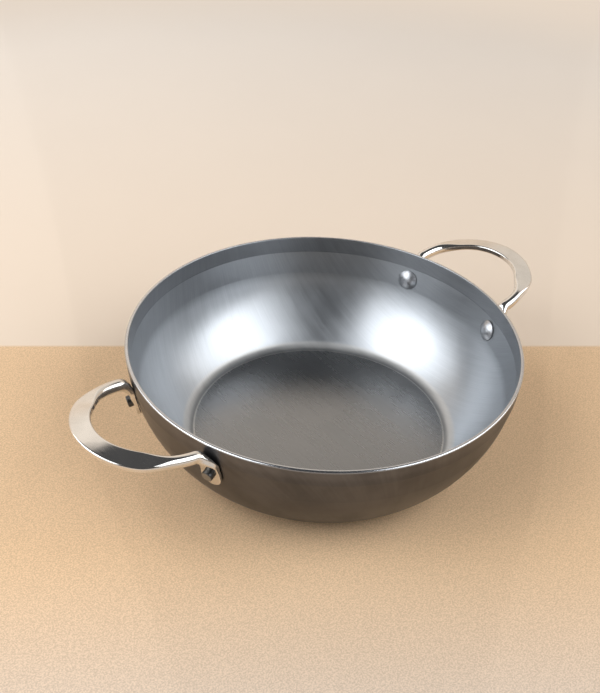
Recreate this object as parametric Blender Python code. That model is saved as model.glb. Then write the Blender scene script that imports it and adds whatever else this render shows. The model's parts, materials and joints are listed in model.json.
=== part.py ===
"""Country frying pan in carbon steel with two riveted loop handles, at its real size.

Units are metres and +Z is up. The origin is the middle of the underside of the flat
base, so the pan stands on Z = 0, and the two handles lie on the X axis.
"""

from math import asin, atan2, cos, pi, radians, sin, tan

import bmesh
import bpy
from mathutils import Matrix, Vector
from mathutils.geometry import interpolate_bezier

# Pan body, pressed from one sheet
RIM_RADIUS = 0.140
PAN_HEIGHT = 0.0835
SHEET = 0.0025
WALL_RUN = 0.047  # from the edge of the flat base out to the rim
HEEL_RADIUS = 0.015  # outside of the bend between base and wall
CREASE = radians(3)  # turn where the curved wall meets the straight part
CONE_ANGLE = radians(77)  # slope of the straight part that carries the rivets
CONE_RISE = 0.018  # height of the straight part
BAND_ANGLE = radians(84)  # slope of the steeper band under the rim
BAND_RISE = 0.0115  # height of the band
LIP_OUTER = 0.0012
LIP_INNER = 0.0006

# Rivets
RIVET_DROP = 0.0229  # rivet axis below the rim
RIVET_SPACING = 0.0882  # between the two rivets of one handle
SHANK_RADIUS = 0.004
HEAD_RADIUS = 0.0077
HEAD_HEIGHT = 0.0036
HEAD_EDGE = 0.0006
TAIL_LENGTH = 0.0038  # left standing proud of the lug
TAIL_CHAMFER = 0.0008

# Loop handle, forged: half an ellipse of flat bar, round arms, a bend and two lugs
ARM_STANDOFF = 0.0024  # start of the bend beyond the rim
LOOP_LENGTH = 0.0474  # from the start of the bend out to the middle of the grip
ARM_DROP = 0.0056  # middle of the arm below the rim, where the bend starts
LOOP_RISE = 0.0077  # middle of the grip above the arms
GRIP_WIDTH = 0.0137
GRIP_THICKNESS = 0.0045
GRIP_EDGE = 0.0012
GRIP_END = radians(46)  # place on the ellipse where the flat grip starts to narrow
ARM_START = radians(74)  # place where it has become the round arm
ARM_WIDTH = 0.0079
ARM_THICKNESS = 0.0082
ARM_EDGE = 0.0037
BEND_PULL = 0.0040  # length of the bend's curve handles
LUG_WIDTH = 0.0148
LUG_THICKNESS = 0.0028
LUG_EDGE = 0.0007
LUG_HEAD = 0.0070  # rivet axis up to the end of the bend
LUG_TAIL = 0.0115  # rivet axis down to the tip of the lug
NECK_WIDTH = 0.0140
NECK_THICKNESS = 0.0036
THINNED = 0.6  # share of the lug over which the neck thins to the lug's thickness
MOST_EDGE = 0.45  # largest rounding of a section, as a share of its sides

FIT = 0.0003  # clearance between pieces that seat on each other
BORE_OVERSHOOT = 0.0015  # how far a bore cutter runs past the steel
SHARP_ANGLE = radians(50)  # edges flatter than this are shaded smooth

PAN_STEPS = 96
RIVET_STEPS = 24
BORE_STEPS = 32
HEEL_STEPS = 5
WALL_STEPS = 7
LIP_STEPS = 3
LOOP_STEPS = 16
BEND_STEPS = 8
LUG_STEPS = 3
TIP_STEPS = 5
TIP_TURN = radians(82)  # the blunt end of the lug's half circle
CORNER_STEPS = 3
DOME_STEPS = 5

# Finishes: colour, roughness, metallic
PAN_STEEL = ((0.32, 0.32, 0.33), 0.38, 1.0)
HANDLE_STEEL = ((0.72, 0.69, 0.65), 0.12, 1.0)
RIVET_STEEL = ((0.42, 0.43, 0.44), 0.28, 1.0)


def clear_scene():
    for obj in list(bpy.data.objects):
        bpy.data.objects.remove(obj)


def metal(name, finish):
    colour, roughness, metallic = finish
    material = bpy.data.materials.new(name)
    material.use_nodes = True
    shader = material.node_tree.nodes["Principled BSDF"]
    shader.inputs["Base Color"].default_value = (*colour, 1.0)
    shader.inputs["Roughness"].default_value = roughness
    shader.inputs["Metallic"].default_value = metallic
    material.diffuse_color = (*colour, 1.0)
    return material


def place(name, mesh, material, matrix, root):
    obj = bpy.data.objects.new(name, mesh)
    bpy.context.scene.collection.objects.link(obj)
    if not mesh.materials:
        mesh.materials.append(material)
    obj.matrix_world = matrix
    obj.parent = root
    return obj


def arc(centre, radius, start, end, steps):
    """Points (r, z) on an arc. Angle 0 points straight down and 90 degrees points outwards."""
    angles = [start + (end - start) * i / steps for i in range(steps + 1)]
    return [(centre[0] + radius * sin(a), centre[1] - radius * cos(a)) for a in angles]


def ease(value, start, end):
    """0 before start, 1 after end, and a smooth step between them."""
    share = min(1.0, max(0.0, (value - start) / (end - start)))
    return share * share * (3 - 2 * share)


def mix(first, second, share):
    return first + (second - first) * share


def cone_ends():
    """Outer points (r, z) where the straight part of the wall starts and where the band does."""
    band_start = (RIM_RADIUS - BAND_RISE / tan(BAND_ANGLE), PAN_HEIGHT - LIP_OUTER - BAND_RISE)
    cone_start = (band_start[0] - CONE_RISE / tan(CONE_ANGLE), band_start[1] - CONE_RISE)
    return cone_start, band_start


def wall_arc():
    """Radius, centre and both angles of the wall's arc, from the heel up to the cone."""
    top, _ = cone_ends()
    end = CONE_ANGLE - CREASE
    base_radius = RIM_RADIUS - WALL_RUN
    run = top[0] - base_radius
    rise = top[1] - HEEL_RADIUS
    lean = run * sin(end) - rise * cos(end) - HEEL_RADIUS
    radius = (run**2 + rise**2 - HEEL_RADIUS**2) / (2 * lean)
    centre = (top[0] - radius * sin(end), top[1] + radius * cos(end))
    start = atan2(base_radius - centre[0], centre[1] - HEEL_RADIUS)
    return radius, centre, start, end


def under_corner(corner, before, after):
    """Inside of a corner of the wall, one sheet under it, between two slopes."""
    turn = (before + after) / 2
    depth = SHEET / cos((after - before) / 2)
    return (corner[0] - depth * sin(turn), corner[1] + depth * cos(turn))


def rivet_seat():
    """Where a rivet's axis meets the outside of the cone: radius, height, azimuth."""
    foot, _ = cone_ends()
    height = PAN_HEIGHT - RIVET_DROP
    reach = foot[0] + (height - foot[1]) / tan(CONE_ANGLE)
    return reach, height, asin(RIVET_SPACING / 2 / reach)


def seat_matrix(azimuth):
    """Frame on the wall at a rivet: +Z points out of the pan and +X down the wall."""
    reach, height, _ = rivet_seat()
    turned = Matrix.Rotation(azimuth, 4, "Z")
    moved = Matrix.Translation((reach, 0, height))
    return turned @ moved @ Matrix.Rotation(pi - CONE_ANGLE, 4, "Y")


def turned_mesh(name, profile):
    """Mesh of a profile in the XZ plane, for a Screw modifier."""
    mesh = bpy.data.meshes.new(name)
    edges = [(i, i + 1) for i in range(len(profile) - 1)]
    mesh.from_pydata([(r, 0, z) for r, z in profile], edges, [])
    return mesh


def add_screw(obj, steps):
    screw = obj.modifiers.new("Turn", "SCREW")
    screw.angle = 2 * pi
    screw.steps = steps
    screw.render_steps = steps
    screw.use_merge_vertices = True
    screw.merge_threshold = 0.00001
    screw.use_smooth_shade = True


def add_bores(obj, bores):
    boolean = obj.modifiers.new("Rivet bores", "BOOLEAN")
    boolean.operand_type = "COLLECTION"
    boolean.collection = bores
    boolean.operation = "DIFFERENCE"
    boolean.solver = "EXACT"


def body_profile():
    """Section of the pan, from the middle of the floor over the lip to the middle of the base."""
    radius, centre, start, end = wall_arc()
    foot, seam = cone_ends()
    base_radius = RIM_RADIUS - WALL_RUN
    heel = (base_radius, HEEL_RADIUS)
    inner_heel = arc(heel, HEEL_RADIUS - SHEET, 0, start, HEEL_STEPS)
    inner_wall = arc(centre, radius - SHEET, start, end, WALL_STEPS)
    inner_foot = under_corner(foot, end, CONE_ANGLE)
    inner_seam = under_corner(seam, CONE_ANGLE, BAND_ANGLE)
    inner_corner = (RIM_RADIUS - SHEET + LIP_INNER, PAN_HEIGHT - LIP_INNER)
    inner_lip = arc(inner_corner, LIP_INNER, 1.5 * pi, pi, LIP_STEPS)
    outer_corner = (RIM_RADIUS - LIP_OUTER, PAN_HEIGHT - LIP_OUTER)
    outer_lip = arc(outer_corner, LIP_OUTER, pi, 0.5 * pi, LIP_STEPS)
    outer_wall = arc(centre, radius, end, start, WALL_STEPS)
    outer_heel = arc(heel, HEEL_RADIUS, start, 0, HEEL_STEPS)
    inside = inner_heel + inner_wall[1:-1] + [inner_foot, inner_seam] + inner_lip
    outside = outer_lip + [seam] + outer_wall + outer_heel[1:]
    return [(0, SHEET)] + inside + outside + [(0, 0)]


def rivet_profile():
    """Section of a rivet in its seat's frame, from the tip of the tail to the top of the head."""
    hollow = rivet_seat()[0] - SHEET
    tail = FIT + LUG_THICKNESS + TAIL_LENGTH
    under_shank = -SHEET - FIT - SHANK_RADIUS**2 / (2 * hollow)
    under_edge = -SHEET - FIT - HEAD_RADIUS**2 / (2 * hollow)
    crown = HEAD_HEIGHT - HEAD_EDGE
    cap = (HEAD_RADIUS**2 + crown**2) / (2 * crown)
    cap_centre = (0, under_edge - HEAD_HEIGHT + cap)
    dome = arc(cap_centre, cap, asin(HEAD_RADIUS / cap), 0, DOME_STEPS)
    shank = [
        (0, tail),
        (SHANK_RADIUS - TAIL_CHAMFER, tail),
        (SHANK_RADIUS, tail - TAIL_CHAMFER),
        (SHANK_RADIUS, under_shank),
        (HEAD_RADIUS, under_edge),
    ]
    return shank + dome


def bore_mesh():
    """Cutter for the hole that one rivet needs through wall and lug."""
    inner_end = -SHEET - BORE_OVERSHOOT
    outer_end = FIT + LUG_THICKNESS + BORE_OVERSHOOT
    shape = bmesh.new()
    bmesh.ops.create_cone(
        shape,
        cap_ends=True,
        segments=BORE_STEPS,
        radius1=SHANK_RADIUS + FIT,
        radius2=SHANK_RADIUS + FIT,
        depth=outer_end - inner_end,
        matrix=Matrix.Translation((0, 0, (outer_end + inner_end) / 2)),
    )
    mesh = bpy.data.meshes.new("rivet_bore")
    shape.to_mesh(mesh)
    shape.free()
    return mesh


def loop_stations():
    """Half of the loop, from the middle of the grip to the start of the bend."""
    stations = []
    for i in range(LOOP_STEPS + 1):
        turn = pi / 2 * i / LOOP_STEPS
        out = LOOP_LENGTH * cos(turn)
        aside = RIVET_SPACING / 2 * sin(turn)
        point = Vector((
            RIM_RADIUS + ARM_STANDOFF + out,
            aside,
            PAN_HEIGHT - ARM_DROP + LOOP_RISE * out / LOOP_LENGTH,
        ))
        side = Vector((RIVET_SPACING / 2 * cos(turn), LOOP_LENGTH * sin(turn), 0))
        share = ease(turn, GRIP_END, ARM_START)
        width = mix(GRIP_WIDTH, ARM_WIDTH, share)
        thickness = mix(GRIP_THICKNESS, ARM_THICKNESS, share)
        edge = mix(GRIP_EDGE, ARM_EDGE, share)
        stations.append((point, side.normalized(), width, thickness, edge))
    return stations


def lug_point(above, thickness):
    """Middle of the lug, which follows the wall, at a distance up the wall from the rivet's axis."""
    radius, centre, _, end = wall_arc()
    foot, _ = cone_ends()
    _, height, azimuth = rivet_seat()
    way = (height - foot[1]) / sin(CONE_ANGLE) + above
    offset = FIT + thickness / 2
    if way > 0:
        reach = foot[0] + way * cos(CONE_ANGLE) + offset * sin(CONE_ANGLE)
        level = foot[1] + way * sin(CONE_ANGLE) - offset * cos(CONE_ANGLE)
    else:
        angle = end + way / radius
        reach = centre[0] + (radius + offset) * sin(angle)
        level = centre[1] - (radius + offset) * cos(angle)
    return Vector((reach * cos(azimuth), reach * sin(azimuth), level))


def lug_side():
    azimuth = rivet_seat()[2]
    return Vector((-sin(azimuth), cos(azimuth), 0))


def bend_stations():
    """The arm turning down into the lug."""
    start, arm_side, *_ = loop_stations()[-1]
    end = lug_point(LUG_HEAD, NECK_THICKNESS)
    inwards = Vector((-LOOP_LENGTH, 0, -LOOP_RISE)).normalized()
    up_wall = (end - lug_point(0, NECK_THICKNESS)).normalized()
    curve = interpolate_bezier(
        start,
        start + inwards * BEND_PULL,
        end + up_wall * BEND_PULL,
        end,
        BEND_STEPS + 1,
    )
    stations = []
    for i, point in enumerate(curve[1:], start=1):
        share = i / BEND_STEPS
        side = arm_side.lerp(lug_side(), share).normalized()
        eased = ease(share, 0, 1)
        width = mix(ARM_WIDTH, NECK_WIDTH, eased)
        thickness = mix(ARM_THICKNESS, NECK_THICKNESS, eased)
        edge = mix(ARM_EDGE, LUG_EDGE, eased)
        stations.append((point, side, width, thickness, edge))
    return stations


def lug_stations():
    """The flat lug: it widens past the rivet and ends in a half circle."""
    side = lug_side()
    round_radius = LUG_WIDTH / 2
    round_centre = round_radius - LUG_TAIL
    stations = []
    for i in range(1, LUG_STEPS + 1):
        share = i / LUG_STEPS
        above = mix(LUG_HEAD, round_centre, share)
        width = mix(NECK_WIDTH, LUG_WIDTH, ease(share, 0, 1))
        thickness = mix(NECK_THICKNESS, LUG_THICKNESS, ease(share, 0, THINNED))
        point = lug_point(above, thickness)
        stations.append((point, side, width, thickness, LUG_EDGE))
    for i in range(1, TIP_STEPS + 1):
        turn = TIP_TURN * i / TIP_STEPS
        above = round_centre - round_radius * sin(turn)
        point = lug_point(above, LUG_THICKNESS)
        stations.append((point, side, LUG_WIDTH * cos(turn), LUG_THICKNESS, LUG_EDGE))
    return stations


def section(width, thickness, edge):
    """Rounded rectangle, as points along the width and the thickness."""
    edge = min(edge, MOST_EDGE * width, MOST_EDGE * thickness)
    points = []
    for quarter in range(4):
        across = (width / 2 - edge) * (1 if quarter in (0, 3) else -1)
        along = (thickness / 2 - edge) * (1 if quarter in (0, 1) else -1)
        for i in range(CORNER_STEPS + 1):
            angle = pi / 2 * (quarter + i / CORNER_STEPS)
            points.append((across + edge * cos(angle), along + edge * sin(angle)))
    return points


def handle_mesh():
    """Half of the handle as a loft, open in the XZ plane, where a Mirror closes it."""
    stations = loop_stations() + bend_stations() + lug_stations()
    points = [station[0] for station in stations]
    first_tangent = Vector((0, 1, 0))
    shape = bmesh.new()
    rings = []
    for i, (point, side, width, thickness, edge) in enumerate(stations):
        ahead = points[min(i + 1, len(points) - 1)]
        tangent = (ahead - points[i - 1]).normalized() if i else first_tangent
        side = (side - tangent * side.dot(tangent)).normalized()
        normal = side.cross(tangent)
        rings.append([
            shape.verts.new(point + side * across + normal * along)
            for across, along in section(width, thickness, edge)
        ])
    count = len(rings[0])
    for near, far in zip(rings, rings[1:]):
        for i in range(count):
            j = (i + 1) % count
            shape.faces.new((near[i], far[i], far[j], near[j]))
    shape.faces.new(reversed(rings[-1]))
    for face in shape.faces:
        face.smooth = True
    mesh = bpy.data.meshes.new("loop_handle")
    shape.to_mesh(mesh)
    shape.free()
    mesh.set_sharp_from_angle(angle=SHARP_ANGLE)
    return mesh


def add_mirror(obj):
    mirror = obj.modifiers.new("Other half", "MIRROR")
    mirror.use_axis = (False, True, False)
    mirror.use_mirror_merge = True
    mirror.merge_threshold = 0.00001


def build_bores():
    bores = bpy.data.collections.new("rivet_bores")
    bpy.context.scene.collection.children.link(bores)
    mesh = bore_mesh()
    for name, azimuth in rivet_places().items():
        cutter = bpy.data.objects.new(name.replace("rivet", "bore"), mesh)
        cutter.matrix_world = seat_matrix(azimuth)
        cutter.display_type = "WIRE"
        cutter.hide_render = True
        bores.objects.link(cutter)
    return bores


def rivet_places():
    """Azimuth of each rivet. Front is -Y and right is +X."""
    half = rivet_seat()[2]
    return {
        "rivet_right_back": half,
        "rivet_right_front": -half,
        "rivet_left_back": pi - half,
        "rivet_left_front": pi + half,
    }


def build_body(root, bores):
    mesh = turned_mesh("pan_body", body_profile())
    body = place("pan_body", mesh, metal("Satin carbon steel", PAN_STEEL), Matrix(), root)
    add_screw(body, PAN_STEPS)
    add_bores(body, bores)


def build_handles(root, bores):
    steel = metal("Polished stainless steel", HANDLE_STEEL)
    mesh = handle_mesh()
    for name, azimuth in (("handle_right", 0), ("handle_left", pi)):
        handle = place(name, mesh, steel, Matrix.Rotation(azimuth, 4, "Z"), root)
        add_mirror(handle)
        add_bores(handle, bores)


def build_rivets(root):
    steel = metal("Rivet steel", RIVET_STEEL)
    mesh = turned_mesh("rivet", rivet_profile())
    for name, azimuth in rivet_places().items():
        rivet = place(name, mesh, steel, seat_matrix(azimuth), root)
        add_screw(rivet, RIVET_STEPS)


def main():
    clear_scene()
    root = bpy.data.objects.new("frying_pan", None)
    bpy.context.scene.collection.objects.link(root)
    bores = build_bores()
    build_body(root, bores)
    build_handles(root, bores)
    build_rivets(root)


main()
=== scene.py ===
"""Country frying pan in carbon steel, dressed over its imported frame.

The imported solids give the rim, the height and the reach of the handles, and the other
sizes are those of the part's source. The pan is turned from one finely stepped section, the
rivets are set by a node tree, and each loop handle is lofted from the middle of its grip
down to the tips of its lugs. Units are metres, +Z is up, and the two handles lie on the X
axis.
"""

import bpy
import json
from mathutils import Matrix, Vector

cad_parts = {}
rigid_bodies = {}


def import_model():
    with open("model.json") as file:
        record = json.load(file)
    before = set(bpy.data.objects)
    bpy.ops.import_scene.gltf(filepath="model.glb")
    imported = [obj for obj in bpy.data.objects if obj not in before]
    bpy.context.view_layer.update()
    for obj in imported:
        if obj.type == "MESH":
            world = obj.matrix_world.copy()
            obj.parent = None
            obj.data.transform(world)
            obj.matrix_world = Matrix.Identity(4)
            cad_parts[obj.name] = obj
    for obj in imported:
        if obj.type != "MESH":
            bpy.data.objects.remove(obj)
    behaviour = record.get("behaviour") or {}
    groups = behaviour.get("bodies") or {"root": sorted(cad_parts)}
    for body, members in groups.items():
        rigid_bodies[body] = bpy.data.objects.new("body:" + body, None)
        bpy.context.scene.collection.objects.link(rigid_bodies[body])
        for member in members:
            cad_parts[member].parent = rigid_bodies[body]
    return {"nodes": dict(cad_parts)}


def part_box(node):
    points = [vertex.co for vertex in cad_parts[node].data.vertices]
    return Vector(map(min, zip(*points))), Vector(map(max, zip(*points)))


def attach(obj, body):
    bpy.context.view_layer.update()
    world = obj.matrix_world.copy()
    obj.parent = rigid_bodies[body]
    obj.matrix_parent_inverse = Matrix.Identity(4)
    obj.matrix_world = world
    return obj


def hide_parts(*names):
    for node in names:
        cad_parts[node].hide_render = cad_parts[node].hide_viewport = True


for startup_object in list(bpy.data.objects):
    bpy.data.objects.remove(startup_object)
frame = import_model()

import json
from math import asin, atan2, cos, pi, radians, sin, tan

import bmesh
from bpy.props import FloatProperty, FloatVectorProperty, IntProperty, PointerProperty
from bpy.types import Operator, Panel, PropertyGroup
from mathutils import Euler, Matrix, Vector
from mathutils.geometry import interpolate_bezier

bl_info = {
    "name": "Country frying pan",
    "version": (1, 0, 0),
    "blender": (4, 5, 0),
    "location": "View3D > Sidebar > Frying Pan",
    "description": "Builds a round steel frying pan with two riveted loop handles",
    "category": "Add Mesh",
}

PAN_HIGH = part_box("pan_body")[1]
GRIP_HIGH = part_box("handle_right")[1]

# What the materials read from the meshes
SHEET_MAP = "sheet"
ALONG = "along"

# Room that a node takes in the editor
NODE_WIDTH = 180

# How finely the sections are stepped, and shares of their straight stretches
FLOOR_STEPS = 24
HEEL_STEPS = 16
WALL_STEPS = 36
CORNER_STEPS = 4
INNER_LIP_STEPS = 6
OUTER_LIP_STEPS = 8
INNER_CONE_SHARES = (0.05, 0.3, 0.6, 0.95)
OUTER_CONE_SHARES = (0.05, 0.4, 0.7, 0.95)
BAND_SHARES = (0.08, 0.5, 0.92)
BAR_SHARES = (0.06, 0.25, 0.5, 0.75, 0.94)
DOME_STEPS = 18
CHAMFER_STEPS = 5
MERGE_DISTANCE = 0.00001

# Rivets and loop handles
RIVET_TURNS = 64
RIVET_COUNT = 4
RIVET_SHARP = radians(40)
HANDLE_SHARP = radians(50)
THINNED = 0.6  # share of the lug over which the neck thins to the lug's thickness
TIP_TURN = radians(88.5)  # the half round tip ends just before it comes to a point
MOST_EDGE = 0.47  # largest rounding of a bar, as a share of its sides

# Finishes
METALLIC = 0.96
NOISE_RANGE = (0.3, 0.7)  # range that noise mostly keeps to
OVER_RIM = (0.0016, 0.0030)  # way past the lip at which the outside's finish comes in
RUBBED = (0.0060, 0.0120)  # way past the lip over which the rubbed stripe ends
STAINED = (0.36, 0.64)  # range of noise over which a stain goes over into bare skin
SKIN_TONES = (0.82, 1.20)  # factors on the skin's colour, stained and bare
RUBBED_TONES = (1.05, 1.50)  # the same on the rubbed stripe
# Painted shade lies on the side of each rivet's standing end.
SHANK_FADE = 0.0010  # way over which the dark side of a rivet's end turns plain
FACE_FADE = 0.0008  # way over which the end's face goes over into its side

# Zones of the pan's steel, outwards over the sheet: the mark, where the zone starts and
# where it is full, counted from the mark, its colour, and a factor on the colour. The tones
# are partly the steel's own and partly painted reflected light; the edge and lip rows are
# painted highlights, and the row with the factor 0.7 is a painted shade line in the crease.
STEEL_ZONES = (
    ("floor", -0.0004, 0.0, "edge_painted_highlight", 1.0),
    ("floor", 0.0006, 0.0014, "floor_steel", 1.0),
    ("floor", 0.0014, 0.0050, "heel_steel", 1.0),
    ("heel", -0.0010, 0.0020, "wall_steel", 1.0),
    ("wall", -0.0080, 0.0020, "cone_steel", 1.0),
    # Painted shade: a dark line in the crease where the cone meets the band.
    ("cone", -0.0005, 0.0, "cone_steel", 0.7),
    ("cone", 0.0, 0.0005, "band_steel", 1.0),
    ("rim", -0.0008, 0.0, "lip_painted_highlight", 1.0),
)

# Changes of the pan's roughness: the mark, where the change starts and ends, and what is
# added before and after it
ROUGHNESS_CHANGES = (
    ("floor", 0.0, 0.0020, -0.07, 0.10),
    ("heel", -0.0020, 0.0030, 0.0, -0.10),
    ("rim", -0.0006, 0.0, 0.0, -0.16),
    ("rim", *OVER_RIM, 0.0, 0.20),
)

# The floor, with places in metres from the middle of the pan
FLOOR_REACH = 4.0
FLOOR_LEVEL = -0.0002
FRONT_FADE = (-0.35, -0.11)
# Painted light: the paper turns paler further behind the pan, as if more lit higher up.
UPPER_LIGHT_FADE = 0.9
JOINT_SOFTNESS = 0.002
# Painted light across the floor: the range over which it fades from darker to lighter, and both tones
PAINTED_LIGHT_FADE = (-0.35, 0.45)
PAINTED_LIGHT_TONES = (0.87, 1.0)
HAZE_FADE = (0.80, 1.10)
PAPER_GRAIN = 0.14

# The photograph's viewpoint, fitted to the rim, the base and the handles
CAMERA_PLACE = (-0.41504, -0.44743, 0.51909)
CAMERA_TILT = radians(53.826)  # up from straight down
CAMERA_ROLL = radians(-2.501)
CAMERA_TURN = radians(-39.409)  # round from +Y
CAMERA_SENSOR = 36.0  # millimetres

# Lamps
LAMP_DISTANCE = 1.2
LAMP_FOOT = 0.40
LAMP_TOP = 2.40
LAMP_COLOUR = (0.97, 1.0, 1.03)
KEY_WIDTH = 0.70
WASH_WIDTH = 2.00
LEFT_AZIMUTH = 159
RIGHT_AZIMUTH = -56

# The room, by the sine of the height or the cosine of the angle between two directions
PAPER_AZIMUTH = 45
PAPER_SIDES = (0.12, 0.36)
PAPER_TOP = (0.66, 0.80)
PAPER_RISE = (0.25, 0.62)
PAPER_FACTOR = 1.1  # on the paper's colour, where the steel mirrors it
HORIZON_FACTOR = 0.6  # the same on the haze's colour
HORIZON = (0.05, 0.25)
BRIGHT_AZIMUTH = 123
BRIGHT_SIDES = (-0.1, 0.4)
BRIGHTNESS = (0.78, 1.04)


# Sizes and colours


def length(label, default, about):
    return FloatProperty(
        name=label, description=about, default=default, min=0.0, precision=5, unit="LENGTH"
    )


def angle(label, default, about):
    return FloatProperty(name=label, description=about, default=default, unit="ROTATION")


def share(label, default, about):
    return FloatProperty(
        name=label, description=about, default=default, min=0.0, max=1.0, subtype="FACTOR"
    )


def power(label, default, about):
    return FloatProperty(name=label, description=about, default=default, min=0.0, unit="POWER")


def colour(label, default, about):
    return FloatVectorProperty(
        name=label, description=about, default=default, min=0.0, max=1.0, size=3, subtype="COLOR"
    )


class PanSizes(PropertyGroup):
    """The pressed body of the pan."""

    rim_radius: length("Rim radius", PAN_HIGH.x, "Outside of the rim")
    height: length("Height", PAN_HIGH.z, "Underside of the base up to the rim")
    sheet: length("Sheet", 0.0025, "Thickness of the steel")
    wall_run: length("Wall run", 0.047, "Edge of the flat base out to the rim")
    heel_radius: length("Heel radius", 0.015, "Outside of the bend between base and wall")
    crease: angle("Crease", radians(3), "Turn where the curved wall meets the straight part")
    cone_angle: angle("Cone angle", radians(77), "Slope of the straight part of the wall")
    cone_rise: length("Cone rise", 0.018, "Height of the straight part")
    band_angle: angle("Band angle", radians(84), "Slope of the band under the rim")
    band_rise: length("Band rise", 0.0115, "Height of the band")
    seam: length("Seam", 0.004, "Outer rounding between straight part and band")
    lip_outer: length("Outer lip", 0.0012, "Rounding of the rim's outer edge")
    lip_inner: length("Inner lip", 0.0006, "Rounding of the rim's inner edge")
    turns: IntProperty(name="Turns", description="Steps round the pan", default=288, min=24)
    # The inside's tones below are partly the steel's own and partly painted reflected light: lighter on
    # the heel and the wall, darker on the floor, the cone and the band.
    floor_steel: colour("Floor steel", (0.330, 0.330, 0.330), "Duller steel of the floor")
    # Painted highlight: a bright line round the floor where the bend starts, standing for the light that
    # it catches.
    edge_painted_highlight: colour("Edge steel", (0.560, 0.550, 0.530), "Bright line round the floor")
    heel_steel: colour("Heel steel", (0.520, 0.515, 0.505), "Steel that the tight bend has rubbed bright")
    wall_steel: colour("Wall steel", (0.455, 0.472, 0.492), "Steel that the press has burnished")
    cone_steel: colour("Cone steel", (0.330, 0.343, 0.360), "Steel of the cone")
    band_steel: colour("Band steel", (0.300, 0.311, 0.328), "Steel of the band under the rim")
    # Painted highlight: the rim's lighter tone stands for the light that its rounded lip catches.
    lip_painted_highlight: colour("Lip steel", (0.560, 0.565, 0.580), "Bare steel of the rim")
    skin: colour("Skin", (0.106, 0.104, 0.107), "Darker outside of the pan")
    gloss: share("Roughness", 0.34, "Middle roughness of the ground steel")
    grain: share("Grain", 0.35, "How far the grinding draws out the highlights")


class RivetSizes(PropertyGroup):
    """The four rivets."""

    drop: length("Drop", 0.0229, "Rivet axis below the rim")
    spacing: length("Spacing", 0.0882, "Between the two rivets of one handle")
    shank: length("Shank radius", 0.004, "Radius of the shank and its standing end")
    head_radius: length("Head radius", 0.0077, "Radius of the head inside the pan")
    head_height: length("Head height", 0.0036, "Height of the domed head")
    head_edge: length("Head edge", 0.0006, "Upright edge of the head under its dome")
    tail: length("Tail", 0.0038, "End left standing proud of the lug")
    chamfer: length("Chamfer", 0.0008, "Broken edge of the standing end")
    fit: length("Fit", 0.0003, "Clearance between pieces that seat on each other")
    steel: colour("Steel", (0.44, 0.45, 0.47), "Rivet steel")
    # Painted shade on the standing ends: deep on their sides, lighter on their faces, which are also
    # darker steel.
    end_face_steel_and_shade: colour("End steel", (0.27, 0.27, 0.27), "Faces of the standing ends")
    shank_painted_shade: colour("Shank steel", (0.08, 0.08, 0.08), "Dark sides of the standing ends")
    gloss: share("Roughness", 0.36, "Middle roughness of the rivets")


class HandleSizes(PropertyGroup):
    """The two forged loop handles."""

    standoff: length("Standoff", 0.0024, "Start of the bend beyond the rim")
    arm_drop: length("Arm drop", 0.0056, "Middle of the arm below the rim at the bend")
    rise: length("Rise", 0.0077, "Middle of the grip above the arms")
    grip_width: length("Grip width", 0.0137, "Flat bar of the grip")
    grip_thickness: length("Grip thickness", 0.0045, "Flat bar of the grip")
    grip_edge: length("Grip edge", 0.0012, "Rounding of the flat bar")
    lean: angle("Lean", radians(9), "How far the flat leans outwards along the arm")
    grip_end: angle("Grip end", radians(46), "Place on the loop where the grip narrows")
    arm_start: angle("Arm start", radians(74), "Place on the loop where it is round")
    arm_width: length("Arm width", 0.0079, "Round arm")
    arm_thickness: length("Arm thickness", 0.0082, "Round arm")
    arm_edge: length("Arm edge", 0.0037, "Rounding of the arm")
    bend_pull: length("Bend pull", 0.0040, "How wide the bend above the lug runs")
    lug_width: length("Lug width", 0.0148, "Flat lug on the wall")
    lug_thickness: length("Lug thickness", 0.0028, "Flat lug on the wall")
    lug_edge: length("Lug edge", 0.0007, "Rounding of the lug")
    lug_head: length("Lug head", 0.0070, "Rivet axis up to the end of the bend")
    lug_tail: length("Lug tail", 0.0115, "Rivet axis down to the tip of the lug")
    neck_width: length("Neck width", 0.0140, "Top of the lug")
    neck_thickness: length("Neck thickness", 0.0036, "Top of the lug")
    steel: colour("Steel", (0.76, 0.735, 0.70), "Polished stainless steel")
    gloss: share("Roughness", 0.10, "Middle roughness of the polish")


class StageSizes(PropertyGroup):
    """Floor, backdrop, lamps and camera."""

    floor: colour("Floor", (0.735, 0.505, 0.305), "Paper that the pan stands on")
    backdrop: colour("Backdrop", (0.80, 0.655, 0.52), "Paler paper behind the pan")
    front: colour("Front of the floor", (0.61, 0.545, 0.49), "The same paper nearer the camera")
    # Painted light: the paler tone that the paper takes further back, as if more lit there.
    upper: colour("Upper backdrop", (0.96, 0.86, 0.76), "The same paper further up")
    aloft: colour("Aloft", (1.0, 0.91, 0.81), "What the steel sees of the paper above the picture")
    haze: colour("Haze", (0.79, 0.675, 0.565), "What the paper fades into far from the pan")
    dark: colour("Dark room", (0.030, 0.030, 0.033), "The room on the camera's side and overhead")
    joint: length("Joint", 0.103, "Where the paler paper starts behind the pan's middle")
    joint_azimuth: angle("Joint azimuth", radians(54), "Direction from the pan to the joint")
    key: power("Key lamps", 17.0, "Power of the soft box on each side")
    wash: power("Wash", 30.0, "Power of the lit wall round each soft box")
    tilt: share("Tilt", 0.08, "Share that the left lamps have more, and the right ones less")
    lens: FloatProperty(
        name="Lens", description="Focal length", default=55.11, subtype="DISTANCE_CAMERA"
    )


# Helpers


def ease(value, start, end):
    """0 before start, 1 after end, and a smooth step between them."""
    part = min(1.0, max(0.0, (value - start) / (end - start)))
    return part * part * (3 - 2 * part)


def mix(first, second, part):
    return first + (second - first) * part


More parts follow.
